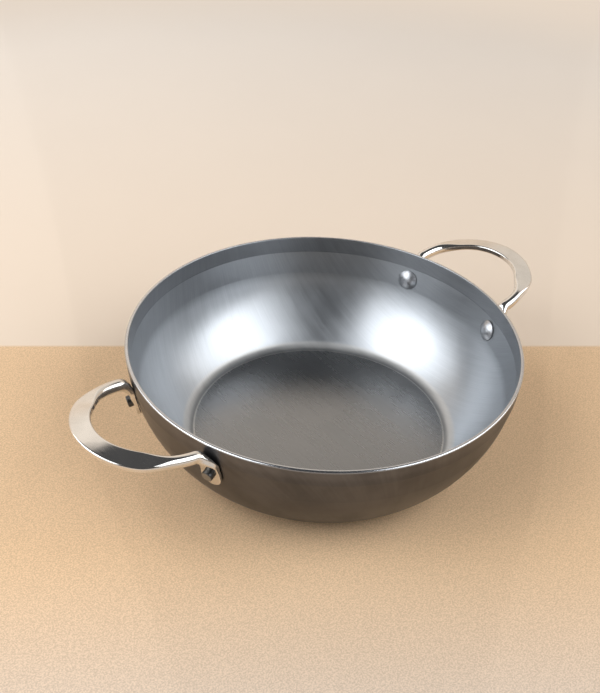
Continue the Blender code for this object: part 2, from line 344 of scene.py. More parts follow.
def arc(centre, radius, start, end, steps):
    """Points (r, z) on an arc. Angle 0 points straight down and 90 degrees points outwards."""
    turns = [start + (end - start) * i / steps for i in range(steps + 1)]
    return [(centre[0] + radius * sin(a), centre[1] - radius * cos(a)) for a in turns]


def cone_ends(pan):
    """Outer points (r, z) where the straight part of the wall starts and where the band does."""
    band_start = (
        pan.rim_radius - pan.band_rise / tan(pan.band_angle),
        pan.height - pan.lip_outer - pan.band_rise,
    )
    cone_start = (
        band_start[0] - pan.cone_rise / tan(pan.cone_angle),
        band_start[1] - pan.cone_rise,
    )
    return cone_start, band_start


def wall_arc(pan):
    """Radius, centre and both angles of the wall's arc, from the heel up to the cone."""
    top, _ = cone_ends(pan)
    end = pan.cone_angle - pan.crease
    base_radius = pan.rim_radius - pan.wall_run
    run = top[0] - base_radius
    rise = top[1] - pan.heel_radius
    lean = run * sin(end) - rise * cos(end) - pan.heel_radius
    radius = (run**2 + rise**2 - pan.heel_radius**2) / (2 * lean)
    centre = (top[0] - radius * sin(end), top[1] + radius * cos(end))
    start = atan2(base_radius - centre[0], centre[1] - pan.heel_radius)
    return radius, centre, start, end


def rivet_seat(pan, rivet):
    """Where a rivet's axis meets the outside of the cone: radius, height, azimuth."""
    foot, _ = cone_ends(pan)
    height = pan.height - rivet.drop
    reach = foot[0] + (height - foot[1]) / tan(pan.cone_angle)
    return reach, height, asin(rivet.spacing / 2 / reach)


def show(name, mesh):
    piece = bpy.data.objects.new(name, mesh)
    bpy.context.scene.collection.objects.link(piece)
    return piece


def hand_over(piece, slot, *nodes):
    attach(piece, "root")
    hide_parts(*nodes)


# Node trees


class Tree:
    """A node tree that is filled from left to right."""

    def __init__(self, tree):
        self.tree = tree
        self.place = 0

    def add(self, kind, settings=None, **inputs):
        """A node, with its settings and its inputs by name. An output given as input is linked."""
        node = self.tree.nodes.new(kind)
        node.location = (self.place, 0)
        self.place += NODE_WIDTH
        for key, value in (settings or {}).items():
            setattr(node, key, value)
        for key, value in inputs.items():
            self.join(node, key.replace("_", " ").strip(), value)
        return node

    def join(self, node, socket, value):
        """Links or sets an input, given by its name or, after a # sign, by its number."""
        target = node.inputs[int(socket[1:])] if socket[0] == "#" else node.inputs[socket]
        if isinstance(value, bpy.types.NodeSocket):
            self.tree.links.new(value, target)
        elif isinstance(value, bpy.types.Node):
            self.tree.links.new(value.outputs[0], target)
        else:
            target.default_value = value

    def maths(self, operation, first, second=0.0):
        node = self.add("ShaderNodeMath", {"operation": operation})
        self.join(node, "#0", first)
        self.join(node, "#1", second)
        return node.outputs[0]

    def total(self, *parts):
        """The sum of outputs, each times its weight."""
        weighed = [self.maths("MULTIPLY", value, weight) for value, weight in parts]
        added = weighed[0]
        for part in weighed[1:]:
            added = self.maths("ADD", added, part)
        return added

    def vector(self, operation, first, second=None):
        """A step of vector maths. A length and a dot product are plain numbers."""
        node = self.add("ShaderNodeVectorMath", {"operation": operation})
        self.join(node, "#0", first)
        if second is not None:
            self.join(node, "Scale" if operation == "SCALE" else "#1", second)
        return node.outputs["Value" if operation in ("LENGTH", "DOT_PRODUCT") else "Vector"]


def shape_tree(name, sockets):
    """A geometry tree with a geometry socket at each end and the named inputs."""
    group = bpy.data.node_groups.new(name, "GeometryNodeTree")
    face = group.interface
    face.new_socket("Geometry", in_out="INPUT", socket_type="NodeSocketGeometry")
    for label, kind in sockets:
        face.new_socket(label, in_out="INPUT", socket_type=kind)
    face.new_socket("Geometry", in_out="OUTPUT", socket_type="NodeSocketGeometry")
    return Tree(group)


def run_tree(piece, group, values):
    """Sets the tree's inputs on a modifier and turns what it makes into the piece's own mesh."""
    modifier = piece.modifiers.new(group.name, "NODES")
    modifier.node_group = group
    for item in group.interface.items_tree:
        if item.in_out == "INPUT" and item.name in values:
            modifier[item.identifier] = values[item.name]
    bpy.context.view_layer.update()
    graph = bpy.context.evaluated_depsgraph_get()
    made = bpy.data.meshes.new_from_object(
        piece.evaluated_get(graph), preserve_all_data_layers=True, depsgraph=graph
    )
    made.name = piece.name
    piece.modifiers.remove(modifier)
    piece.data = made
    turn_outwards(made)


def turn_outwards(mesh):
    shape = bmesh.new()
    shape.from_mesh(mesh)
    bmesh.ops.recalc_face_normals(shape, faces=shape.faces)
    if shape.calc_volume(signed=True) < 0:
        bmesh.ops.reverse_faces(shape, faces=shape.faces)
    shape.to_mesh(mesh)
    shape.free()


def section_mesh(name, profile):
    """A section as a chain of edges at Y = 0, each point knowing its way along the section."""
    mesh = bpy.data.meshes.new(name)
    mesh.from_pydata(
        [(r, z, 0) for r, z in profile], [(i, i + 1) for i in range(len(profile) - 1)], []
    )
    along = mesh.attributes.new(ALONG, "FLOAT", "POINT")
    along.data.foreach_set("value", ways(profile))
    return mesh


def ways(profile):
    """Distance along a section from its first point to each of its points."""
    way = [0.0]
    for near, far in zip(profile, profile[1:]):
        way.append(way[-1] + (Vector(far) - Vector(near)).length)
    return way


def turned(tree, profile, segments):
    """Nodes that turn a section round the Z axis and close its two ends on the axis.

    The section is swept along a circle of radius 1, so it is first moved back by as much.
    """
    chain = tree.add("GeometryNodeMeshToCurve", Mesh=profile)
    moved = tree.add(
        "GeometryNodeTransform",
        Geometry=chain,
        Translation=(-1.0, 0.0, 0.0),
        Scale=(1.0, -1.0, 1.0),
    )
    circle = tree.add("GeometryNodeCurvePrimitiveCircle", Resolution=segments, Radius=1.0)
    skin = tree.add("GeometryNodeCurveToMesh", Curve=circle.outputs["Curve"], Profile_Curve=moved)
    return tree.add("GeometryNodeMergeByDistance", Geometry=skin, Distance=MERGE_DISTANCE)


# Pan body


def rounded(corner, low, high, radius, depth):
    """A corner of the wall between two slopes, rounded, at a depth under the wall's outside."""
    reach = radius / cos((high - low) / 2)
    turn = (low + high) / 2
    centre = (corner[0] - reach * sin(turn), corner[1] + reach * cos(turn))
    return arc(centre, radius - depth, low, high, CORNER_STEPS)


def straight(first, last, parts):
    """Points between two others, at shares of the way."""
    return [(mix(first[0], last[0], part), mix(first[1], last[1], part)) for part in parts]


def body_section(pan):
    """Section of the pan, from the middle of the floor over the lip to the middle of the base."""
    radius, centre, start, end = wall_arc(pan)
    foot, seam = cone_ends(pan)
    base_radius = pan.rim_radius - pan.wall_run
    heel = (base_radius, pan.heel_radius)
    floor = [(base_radius * i / FLOOR_STEPS, pan.sheet) for i in range(FLOOR_STEPS)]
    inner_heel = arc(heel, pan.heel_radius - pan.sheet, 0, start, HEEL_STEPS)
    inner_wall = arc(centre, radius - pan.sheet, start, end, WALL_STEPS)
    inner_foot = rounded(foot, end, pan.cone_angle, pan.seam, pan.sheet)
    inner_seam = rounded(seam, pan.cone_angle, pan.band_angle, pan.seam, pan.sheet)
    inner_cone = straight(inner_foot[-1], inner_seam[0], INNER_CONE_SHARES)
    inner_corner = (pan.rim_radius - pan.sheet + pan.lip_inner, pan.height - pan.lip_inner)
    inner_lip = arc(inner_corner, pan.lip_inner, 1.5 * pi, pi, INNER_LIP_STEPS)
    outer_corner = (pan.rim_radius - pan.lip_outer, pan.height - pan.lip_outer)
    outer_lip = arc(outer_corner, pan.lip_outer, pi, 0.5 * pi, OUTER_LIP_STEPS)
    outer_wall = arc(centre, radius, end, start, WALL_STEPS)
    outer_seam = rounded(seam, pan.cone_angle, pan.band_angle, pan.seam, 0.0)[::-1]
    outer_foot = rounded(foot, end, pan.cone_angle, pan.seam, 0.0)[::-1]
    outer_cone = straight(outer_seam[-1], outer_foot[0], OUTER_CONE_SHARES)
    outer_heel = arc(heel, pan.heel_radius, start, 0, HEEL_STEPS)
    base = [(base_radius * i / FLOOR_STEPS, 0.0) for i in range(FLOOR_STEPS - 1, -1, -1)]
    inner_band = straight(inner_seam[-1], inner_lip[0], BAND_SHARES)
    outer_band = straight(outer_lip[-1], outer_seam[0], BAND_SHARES)
    inner_low = inner_heel + inner_wall[1:-1] + inner_foot + inner_cone
    outer_low = outer_cone + outer_foot + outer_wall[1:] + outer_heel[1:]
    inside = inner_low + inner_seam + inner_band + inner_lip
    return floor + inside + outer_lip + outer_band + outer_seam + outer_low + base


def zone_ends(pan):
    """Ways along the section at which each zone of the inside ends, by name."""
    section = body_section(pan)
    radius, centre, start, end = wall_arc(pan)
    inner = radius - pan.sheet
    turn = (pan.cone_angle + pan.band_angle) / 2
    _, seam = cone_ends(pan)
    under_seam = (seam[0] - pan.sheet * sin(turn), seam[1] + pan.sheet * cos(turn))
    marks = [(pan.rim_radius - pan.wall_run, pan.sheet)] + arc(centre, inner, start, end, 1)
    marks += [under_seam, (pan.rim_radius - pan.sheet + pan.lip_inner, pan.height)]
    way = ways(section)
    ends = {}
    for name, mark in zip(("floor", "heel", "wall", "cone", "rim"), marks):
        apart = [(Vector(point) - Vector(mark)).length for point in section]
        ends[name] = way[apart.index(min(apart))]
    return ends


def pan_tree():
    """Turns the section and lays the flat sheet's own map over what it makes."""
    tree = shape_tree(
        "Turned pan", [("Turns", "NodeSocketInt"), ("Material", "NodeSocketMaterial")]
    )
    given = tree.add("NodeGroupInput")
    skin = turned(tree, given.outputs["Geometry"], given.outputs["Turns"])
    smooth = tree.add("GeometryNodeSetShadeSmooth", Geometry=skin)
    way = tree.add("GeometryNodeInputNamedAttribute", {"data_type": "FLOAT"}, Name=ALONG)
    spot = tree.add("GeometryNodeInputPosition")
    flat = tree.vector("MULTIPLY", spot, (1.0, 1.0, 0.0))
    laid = tree.vector("SCALE", tree.vector("NORMALIZE", flat), way.outputs["Attribute"])
    mapped = tree.add(
        "GeometryNodeStoreNamedAttribute",
        {"data_type": "FLOAT2", "domain": "CORNER"},
        Geometry=smooth,
        Name=SHEET_MAP,
    )
    tree.join(mapped, "Value", laid)
    whole = tree.add("GeometryNodeRealizeInstances", Geometry=mapped)
    coated = tree.add("GeometryNodeSetMaterial", Geometry=whole, Material=given.outputs["Material"])
    tree.add("NodeGroupOutput", Geometry=coated)
    return tree.tree


def make_pan(sizes):
    piece = show("pan", section_mesh("pan", body_section(sizes)))
    run_tree(piece, pan_tree(), {"Turns": sizes.turns, "Material": pan_steel(sizes)})
    hand_over(piece, "pan_steel", "pan_body")


# Rivets


def rivet_section(pan, rivet, lug_thickness):
    """Section of a rivet in its seat, from the tip of the standing end to the top of the head."""
    hollow = rivet_seat(pan, rivet)[0] - pan.sheet
    tail = rivet.fit + lug_thickness + rivet.tail
    under_shank = -pan.sheet - rivet.fit - rivet.shank**2 / (2 * hollow)
    under_edge = -pan.sheet - rivet.fit - rivet.head_radius**2 / (2 * hollow)
    crown = rivet.head_height - rivet.head_edge
    cap = (rivet.head_radius**2 + crown**2) / (2 * crown)
    top = under_edge - rivet.head_height
    dome = arc((0, top + cap), cap, asin(rivet.head_radius / cap), 0, DOME_STEPS)
    corner = (rivet.shank - rivet.chamfer, tail - rivet.chamfer)
    broken = arc(corner, rivet.chamfer, pi, pi / 2, CHAMFER_STEPS)
    return [(0, tail)] + broken + [(rivet.shank, under_shank), (rivet.head_radius, under_edge)] + dome


def rivet_tree():
    """Turns one rivet and sets it in its seats, two at each handle."""
    tree = shape_tree(
        "Rivet ring",
        [
            ("Turns", "NodeSocketInt"),
            ("Count", "NodeSocketInt"),
            ("Reach", "NodeSocketFloat"),
            ("Height", "NodeSocketFloat"),
            ("Lean", "NodeSocketFloat"),
            ("Spread", "NodeSocketFloat"),
            ("Material", "NodeSocketMaterial"),
        ],
    )
    given = tree.add("NodeGroupInput")
    rivet = turned(tree, given.outputs["Geometry"], given.outputs["Turns"])
    smooth = tree.add("GeometryNodeSetShadeSmooth", Geometry=rivet)
    number = tree.add("GeometryNodeInputIndex")
    handle = tree.maths("FLOOR", tree.maths("DIVIDE", number.outputs[0], 2.0))
    side = tree.maths("SUBTRACT", tree.maths("MODULO", number.outputs[0], 2.0), 0.5)
    turn = tree.maths(
        "ADD",
        tree.maths("MULTIPLY", handle, pi),
        tree.maths("MULTIPLY", side, tree.maths("MULTIPLY", given.outputs["Spread"], 2.0)),
    )
    across = tree.maths("MULTIPLY", given.outputs["Reach"], tree.maths("COSINE", turn))
    along = tree.maths("MULTIPLY", given.outputs["Reach"], tree.maths("SINE", turn))
    spot = tree.add("ShaderNodeCombineXYZ", X=across, Y=along, Z=given.outputs["Height"])
    lean = tree.maths("SUBTRACT", pi, given.outputs["Lean"])
    facing = tree.add("ShaderNodeCombineXYZ", Y=lean, Z=turn)
    facing = tree.add("FunctionNodeEulerToRotation", Euler=facing)
    seats = tree.add("GeometryNodePoints", Count=given.outputs["Count"], Position=spot)
    placed = tree.add(
        "GeometryNodeInstanceOnPoints", Points=seats, Instance=smooth, Rotation=facing
    )
    whole = tree.add("GeometryNodeRealizeInstances", Geometry=placed)
    coated = tree.add("GeometryNodeSetMaterial", Geometry=whole, Material=given.outputs["Material"])
    tree.add("NodeGroupOutput", Geometry=coated)
    return tree.tree


def make_rivets(pan, sizes, handle):
    reach, height, spread = rivet_seat(pan, sizes)
    profile = rivet_section(pan, sizes, handle.lug_thickness)
    piece = show("rivets", section_mesh("rivets", profile))
    values = {
        "Turns": RIVET_TURNS,
        "Count": RIVET_COUNT,
        "Reach": reach,
        "Height": height,
        "Lean": pan.cone_angle,
        "Spread": spread,
        "Material": rivet_steel(sizes),
    }
    run_tree(piece, rivet_tree(), values)
    piece.data.set_sharp_from_angle(angle=RIVET_SHARP)
    nodes = [name for name in frame["nodes"] if name.startswith("rivet_")]
    hand_over(piece, "rivet_steel", *nodes)


# Loop handles


def loop_stations(pan, rivet, handle, steps=72):
    """Half of the loop, from the middle of the grip to the start of the bend."""
    reach = GRIP_HIGH.x - handle.grip_width / 2 - pan.rim_radius - handle.standoff
    stations = []
    for i in range(steps + 1):
        turn = pi / 2 * i / steps
        out = reach * cos(turn)
        point = Vector((
            pan.rim_radius + handle.standoff + out,
            rivet.spacing / 2 * sin(turn),
            pan.height - handle.arm_drop + handle.rise * out / reach,
        ))
        side = Vector((rivet.spacing / 2 * cos(turn), reach * sin(turn), 0)).normalized()
        side.z = -tan(handle.lean) * ease(turn, 0, handle.grip_end)
        part = ease(turn, handle.grip_end, handle.arm_start)
        width = mix(handle.grip_width, handle.arm_width, part)
        thickness = mix(handle.grip_thickness, handle.arm_thickness, part)
        edge = mix(handle.grip_edge, handle.arm_edge, part)
        stations.append((point, side.normalized(), width, thickness, edge))
    return stations


def lug_point(pan, rivet, above, thickness):
    """Middle of the lug, which follows the wall, at a distance up the wall from the rivet's axis."""
    radius, centre, _, end = wall_arc(pan)
    foot, _ = cone_ends(pan)
    _, height, azimuth = rivet_seat(pan, rivet)
    way = (height - foot[1]) / sin(pan.cone_angle) + above
    offset = rivet.fit + thickness / 2
    if way > 0:
        reach = foot[0] + way * cos(pan.cone_angle) + offset * sin(pan.cone_angle)
        level = foot[1] + way * sin(pan.cone_angle) - offset * cos(pan.cone_angle)
    else:
        turn = end + way / radius
        reach = centre[0] + (radius + offset) * sin(turn)
        level = centre[1] - (radius + offset) * cos(turn)
    return Vector((reach * cos(azimuth), reach * sin(azimuth), level))


def bend_stations(pan, rivet, handle, start, arm_side, lug_side, slope, steps=32):
    """The arm turning down into the lug."""
    end = lug_point(pan, rivet, handle.lug_head, handle.neck_thickness)
    up_wall = (end - lug_point(pan, rivet, 0, handle.neck_thickness)).normalized()
    curve = interpolate_bezier(
        start,
        start + slope * handle.bend_pull,
        end + up_wall * handle.bend_pull,
        end,
        steps + 1,
    )
    stations = []
    for i, point in enumerate(curve[1:], start=1):
        part = i / steps
        side = arm_side.lerp(lug_side, part).normalized()
        eased = ease(part, 0, 1)
        width = mix(handle.arm_width, handle.neck_width, eased)
        thickness = mix(handle.arm_thickness, handle.neck_thickness, eased)
        edge = mix(handle.arm_edge, handle.lug_edge, eased)
        stations.append((point, side, width, thickness, edge))
    return stations


def lug_stations(pan, rivet, handle, side, steps=14, tip_steps=24):
    """The flat lug: it widens past the rivet and ends in a half circle."""
    round_radius = handle.lug_width / 2
    round_centre = round_radius - handle.lug_tail
    stations = []
    for i in range(1, steps + 1):
        part = i / steps
        above = mix(handle.lug_head, round_centre, part)
        width = mix(handle.neck_width, handle.lug_width, ease(part, 0, 1))
        thickness = mix(handle.neck_thickness, handle.lug_thickness, ease(part, 0, THINNED))
        point = lug_point(pan, rivet, above, thickness)
        stations.append((point, side, width, thickness, handle.lug_edge))
    for i in range(1, tip_steps + 1):
        turn = TIP_TURN * i / tip_steps
        above = round_centre - round_radius * sin(turn)
        point = lug_point(pan, rivet, above, handle.lug_thickness)
        width = handle.lug_width * cos(turn)
        stations.append((point, side, width, handle.lug_thickness, handle.lug_edge))
    return stations


def bar_section(width, thickness, edge, corner_steps=7):
    """Rounded rectangle, with points close to its corners so that its flats shade flat."""
    edge = min(edge, MOST_EDGE * width, MOST_EDGE * thickness)
    half_width = width / 2 - edge
    half_thickness = thickness / 2 - edge
    points = []
    for quarter in range(4):
        across = half_width * (1 if quarter in (0, 3) else -1)
        along = half_thickness * (1 if quarter in (0, 1) else -1)
        for i in range(corner_steps + 1):
            turn = pi / 2 * (quarter + i / corner_steps)
            points.append((across + edge * cos(turn), along + edge * sin(turn)))
        here = points[-1]
        if quarter % 2 == 0:
            there = (-here[0], here[1])
        else:
            there = (here[0], -here[1])
        for part in BAR_SHARES:
            points.append((mix(here[0], there[0], part), mix(here[1], there[1], part)))
    return points


def half_handle(pan, rivet, handle):
    """Stations from the middle of the grip to the tip of one lug, each with its own axes."""
    azimuth = rivet_seat(pan, rivet)[2]
    side = Vector((-sin(azimuth), cos(azimuth), 0))
    loop = loop_stations(pan, rivet, handle)
    first, last = loop[0][0], loop[-1][0]
    slope = Vector((last.x - first.x, 0, last.z - first.z)).normalized()
    bend = bend_stations(pan, rivet, handle, last, loop[-1][1], side, slope)
    stations = loop + bend + lug_stations(pan, rivet, handle, side)
    framed = []
    for i, (point, side, width, thickness, edge) in enumerate(stations):
        ahead = stations[min(i + 1, len(stations) - 1)][0]
        tangent = (ahead - stations[i - 1][0]).normalized() if i else Vector((0, 1, 0))
        side = (side - tangent * side.dot(tangent)).normalized()
        framed.append((point, side, side.cross(tangent), width, thickness, edge))
    return framed


def make_handle(name, azimuth, pan, rivet, handle, steel):
    """Lofts one half, mirrors it over the middle of the grip and closes both lug tips."""
    shape = bmesh.new()
    rings = [
        [
            shape.verts.new(point + side * across + normal * along)
            for across, along in bar_section(width, thickness, edge)
        ]
        for point, side, normal, width, thickness, edge in half_handle(pan, rivet, handle)
    ]
    count = len(rings[0])
    for near, far in zip(rings, rings[1:]):
        for i in range(count):
            j = (i + 1) % count
            shape.faces.new((near[i], far[i], far[j], near[j]))
    shape.faces.new(reversed(rings[-1]))
    other = bmesh.ops.duplicate(shape, geom=shape.verts[:] + shape.edges[:] + shape.faces[:])
    moved = [item for item in other["geom"] if isinstance(item, bmesh.types.BMVert)]
    bmesh.ops.scale(shape, vec=(1, -1, 1), verts=moved)
    bmesh.ops.remove_doubles(shape, verts=shape.verts, dist=MERGE_DISTANCE)
    bmesh.ops.rotate(shape, verts=shape.verts, matrix=Matrix.Rotation(azimuth, 3, "Z"))
    bmesh.ops.recalc_face_normals(shape, faces=shape.faces)
    mesh = bpy.data.meshes.new(name)
    shape.to_mesh(mesh)
    shape.free()
    mesh.shade_smooth()
    mesh.set_sharp_from_angle(angle=HANDLE_SHARP)
    mesh.materials.append(steel)
    return show(name, mesh)


def make_handles(pan, rivet, handle):
    steel = handle_steel(handle)
    for side, azimuth in (("right", 0.0), ("left", pi)):
        piece = make_handle(f"loop_handle_{side}", azimuth, pan, rivet, handle, steel)
        hand_over(piece, "handle_steel", f"handle_{side}")


# Materials


def steel(name, base, gloss):
    """A bare metal: its even values stand on the shader's own sockets."""
    material = bpy.data.materials.new(name)
    material.use_nodes = True
    tree = Tree(material.node_tree)
    shader = material.node_tree.nodes["Principled BSDF"]
    shader.inputs["Base Color"].default_value = (*base, 1.0)
    shader.inputs["Roughness"].default_value = gloss
    shader.inputs["Metallic"].default_value = METALLIC
    material.diffuse_color = (*base, 1.0)
    return material, tree, shader


def noise(tree, vector, scale, detail):
    node = tree.add("ShaderNodeTexNoise", Vector=vector, Scale=scale, Detail=detail)
    return node.outputs["Fac"]


def lines(tree, vector, turn, scale, stretch):
    """Noise drawn out into grinding lines. The lines run at right angles to the turned X axis."""
    laid = tree.add(
        "ShaderNodeMapping",
        Vector=vector,
        Rotation=(0.0, 0.0, turn),
        Scale=(1.0, stretch, stretch),
    )
    drawn = tree.add("ShaderNodeTexNoise", Vector=laid, Scale=scale, Detail=4.0, Roughness=0.6)
    return drawn.outputs["Fac"]


def spread(tree, value, low, high, to_low, to_high):
    """Carries a value from one range over to another."""
    node = tree.add(
        "ShaderNodeMapRange",
        {"interpolation_type": "SMOOTHSTEP"},
        From_Min=low,
        From_Max=high,
        To_Min=to_low,
        To_Max=to_high,
    )
    tree.join(node, "Value", value)
    return node.outputs["Result"]


def evened(tree, value, to_low=0.0, to_high=1.0):
    """Carries the range that noise mostly keeps to over to another."""
    return spread(tree, value, *NOISE_RANGE, to_low, to_high)


def blend(tree, part, first, second, kind="MIX"):
    """Carries one colour over into another, or joins them as kind says. Outputs do as well."""
    node = tree.add("ShaderNodeMix", {"data_type": "RGBA", "blend_type": kind})
    tree.join(node, "Factor", part)
    for socket, given in (("#6", first), ("#7", second)):
        linked = isinstance(given, bpy.types.NodeSocket)
        tree.join(node, socket, given if linked else (*given, 1.0))
    return node.outputs[2]


def shade(base, factor):
    return tuple(min(1.0, channel * factor) for channel in base)


def mottled(tree, part, base, swing):
    """A colour that wavers by the same share towards dark and light."""
    return blend(tree, part, shade(base, 1 - swing), shade(base, 1 + swing))


def emboss(tree, shader, height, depth, strength=1.0):
    """Gives a shader a relief of so many metres."""
    bump = tree.add("ShaderNodeBump", Strength=strength, Distance=depth, Height=height)
    tree.join(shader, "Normal", bump.outputs["Normal"])


def pan_steel(sizes):
    """Sheet that was ground in one direction before it was pressed, with faint handling marks."""
    material, tree, shader = steel("Ground carbon steel", sizes.wall_steel, sizes.gloss)
    shader.inputs["Anisotropic"].default_value = sizes.grain
    sheet = tree.add("ShaderNodeUVMap", {"uv_map": SHEET_MAP}).outputs["UV"]
    reach = tree.vector("LENGTH", sheet)
    marks = zone_ends(sizes)

    def past(mark, low, high, before=0.0, after=1.0):
        """A value that changes where the way over the sheet passes a mark."""
        return spread(tree, reach, marks[mark] + low, marks[mark] + high, before, after)

    fine = lines(tree, sheet, turn=0.0, scale=1900.0, stretch=0.015)
    broad = lines(tree, sheet, turn=0.03, scale=230.0, stretch=0.05)
    crossed = lines(tree, sheet, turn=radians(68), scale=1300.0, stretch=0.03)
    cloud = noise(tree, sheet, scale=26.0, detail=4.0)
    mottle = evened(tree, tree.total((fine, 0.45), (broad, 0.3), (cloud, 0.25)))
    tint = mottled(tree, mottle, sizes.floor_steel, swing=0.08)
    for mark, low, high, name, factor in STEEL_ZONES:
        base = shade(getattr(sizes, name), factor)
        zone = mottled(tree, mottle, base, swing=0.10)
        tint = blend(tree, past(mark, low, high), tint, zone)
    stain = noise(tree, sheet, scale=22.0, detail=3.0)
    worn = spread(tree, tree.total((stain, 0.7), (broad, 0.3)), *STAINED, 0.0, 1.0)
    outside = blend(tree, worn, *(shade(sizes.skin, tone) for tone in SKIN_TONES))
    rubbed = blend(tree, worn, *(shade(sizes.skin, tone) for tone in RUBBED_TONES))
    outside = blend(tree, past("rim", *RUBBED, 1.0, 0.0), outside, rubbed)
    tree.join(shader, "Base Color", blend(tree, past("rim", *OVER_RIM), tint, outside))
    dull = tree.total((broad, 0.5), (cloud, 0.5))
    rough = evened(tree, dull, sizes.gloss - 0.04, sizes.gloss + 0.04)
    for change in ROUGHNESS_CHANGES:
        rough = tree.maths("ADD", rough, past(*change))
    tree.join(shader, "Roughness", rough)
    emboss(tree, shader, tree.total((fine, 1.0), (crossed, 0.25)), depth=0.0000016)
    tangent = tree.add("ShaderNodeTangent", {"direction_type": "UV_MAP", "uv_map": SHEET_MAP})
    tree.join(shader, "Tangent", tangent)
    return material


def handle_steel(sizes):
    """Hand-polished forging: slightly wavy, with hairline polishing marks."""
    material, tree, shader = steel("Polished stainless steel", sizes.steel, sizes.gloss)
    place = tree.add("ShaderNodeTexCoord").outputs["Object"]
    wave = noise(tree, place, scale=70.0, detail=2.0)
    hair = lines(tree, place, turn=radians(25), scale=1600.0, stretch=0.08)
    tree.join(shader, "Base Color", mottled(tree, evened(tree, wave), sizes.steel, swing=0.04))
    tree.join(shader, "Roughness", evened(tree, hair, sizes.gloss - 0.03, sizes.gloss + 0.04))
    emboss(tree, shader, tree.total((wave, 1.0), (hair, 0.03)), depth=0.00012)
    return material


def rivet_steel(sizes):
    """Satin steel with small marks from the setting tool, and painted shade on the standing ends, deepest
    on their sides.
    """
    material, tree, shader = steel("Rivet steel", sizes.steel, sizes.gloss)
    place = tree.add("ShaderNodeTexCoord").outputs["Object"]
    pits = noise(tree, place, scale=600.0, detail=5.0)
    cloud = noise(tree, place, scale=150.0, detail=2.0)
    tint = mottled(tree, evened(tree, pits), sizes.steel, swing=0.15)
    way = tree.add("ShaderNodeAttribute", {"attribute_name": ALONG}).outputs["Fac"]
    side_end = sizes.shank + sizes.tail
    face_end = sizes.shank - sizes.chamfer
    # Painted shade on the standing ends: first their faces, then their sides, which are darkest.
    for low, high, darker in (
        (side_end, side_end + SHANK_FADE, sizes.shank_painted_shade),
        (face_end, face_end + FACE_FADE, sizes.end_face_steel_and_shade),
    ):
        tint = blend(tree, spread(tree, way, low, high, 0.0, 1.0), darker, tint)
    tree.join(shader, "Base Color", tint)
    tree.join(shader, "Roughness", evened(tree, pits, sizes.gloss - 0.06, sizes.gloss + 0.06))
    emboss(tree, shader, tree.total((cloud, 1.0), (pits, 0.25)), depth=0.000004)
    return material


# Stage


def sight(tree):
    """Rays straight from the camera, and all that show a surface: also glossy and through glass."""
    rays = tree.add("ShaderNodeLightPath").outputs
    mirrored = tree.maths("MAXIMUM", rays["Is Glossy Ray"], rays["Is Transmission Ray"])
    return rays["Is Camera Ray"], tree.maths("MAXIMUM", rays["Is Camera Ray"], mirrored)


def paper(sizes):
    """Plain paper, one tone under the pan and a paler one behind it, that fades into haze; painted light
    makes it lighter to the left, as the camera sees it, and paler further back.
    """
    material = bpy.data.materials.new("Plain paper")
    material.use_nodes = True
    tree = Tree(material.node_tree)
    shader = material.node_tree.nodes["Principled BSDF"]
    shader.inputs["Roughness"].default_value = 0.85
    shader.inputs["Specular IOR Level"].default_value = 0.2
    place = tree.add("ShaderNodeTexCoord").outputs["Object"]
    joint_x, joint_y = cos(sizes.joint_azimuth), sin(sizes.joint_azimuth)
    away = tree.vector("DOT_PRODUCT", place, (joint_x, joint_y, 0.0))
    leftwards = tree.vector("DOT_PRODUCT", place, (-joint_y, joint_x, 0.0))
    fibre = noise(tree, place, scale=1000.0, detail=2.0)
    cloud = noise(tree, place, scale=7.0, detail=3.0)
    grain = evened(tree, fibre)
    under = mottled(tree, grain, sizes.floor, PAPER_GRAIN)
    front = mottled(tree, grain, sizes.front, PAPER_GRAIN)
    near = blend(tree, spread(tree, away, *FRONT_FADE, 1.0, 0.0), under, front)
    # Painted light: the paper grows paler further behind the pan.
    rise = spread(tree, away, sizes.joint, sizes.joint + UPPER_LIGHT_FADE, 0.0, 1.0)
    far = blend(tree, rise, sizes.backdrop, sizes.upper)
    low, high = sizes.joint - JOINT_SOFTNESS, sizes.joint + JOINT_SOFTNESS
    tone = blend(tree, spread(tree, away, low, high, 0.0, 1.0), near, far)
    # Painted light: the paper is lighter to the left and darker to the right, mottled by cloud.
    lit = tree.total((spread(tree, leftwards, *PAINTED_LIGHT_FADE, 0.0, 0.8), 1.0), (cloud, 0.2))
    darker, lighter = ((level, level, level) for level in PAINTED_LIGHT_TONES)
    painted_light_tint = blend(tree, lit, darker, lighter)
    tree.join(shader, "Base Color", blend(tree, 1.0, tone, painted_light_tint, "MULTIPLY"))
    emboss(tree, shader, fibre, depth=0.0002, strength=0.3)
    far_off = spread(tree, tree.vector("LENGTH", place), *HAZE_FADE, 0.0, 1.0)
    _, shown = sight(tree)
    haze = tree.add("ShaderNodeEmission", Color=(*sizes.haze, 1.0))
    faded = tree.add("ShaderNodeMixShader", Fac=tree.maths("MULTIPLY", far_off, shown))
    tree.join(faded, "#1", shader)
    tree.join(faded, "#2", haze)
    tree.join(material.node_tree.nodes["Material Output"], "Surface", faded)
    return material


def make_floor(sizes):
    mesh = bpy.data.meshes.new("floor")
    signs = ((-1, -1), (1, -1), (1, 1), (-1, 1))
    corners = [(x * FLOOR_REACH, y * FLOOR_REACH, FLOOR_LEVEL) for x, y in signs]
    mesh.from_pydata(corners, [], [(0, 1, 2, 3)])
    mesh.materials.append(paper(sizes))
    show("floor", mesh)


def facing(tree, way, azimuth):
    """How far a direction agrees with a level one, up to 1 where they are the same."""
    turn = radians(azimuth)
    return tree.vector("DOT_PRODUCT", way, (cos(turn), sin(turn), 0.0))


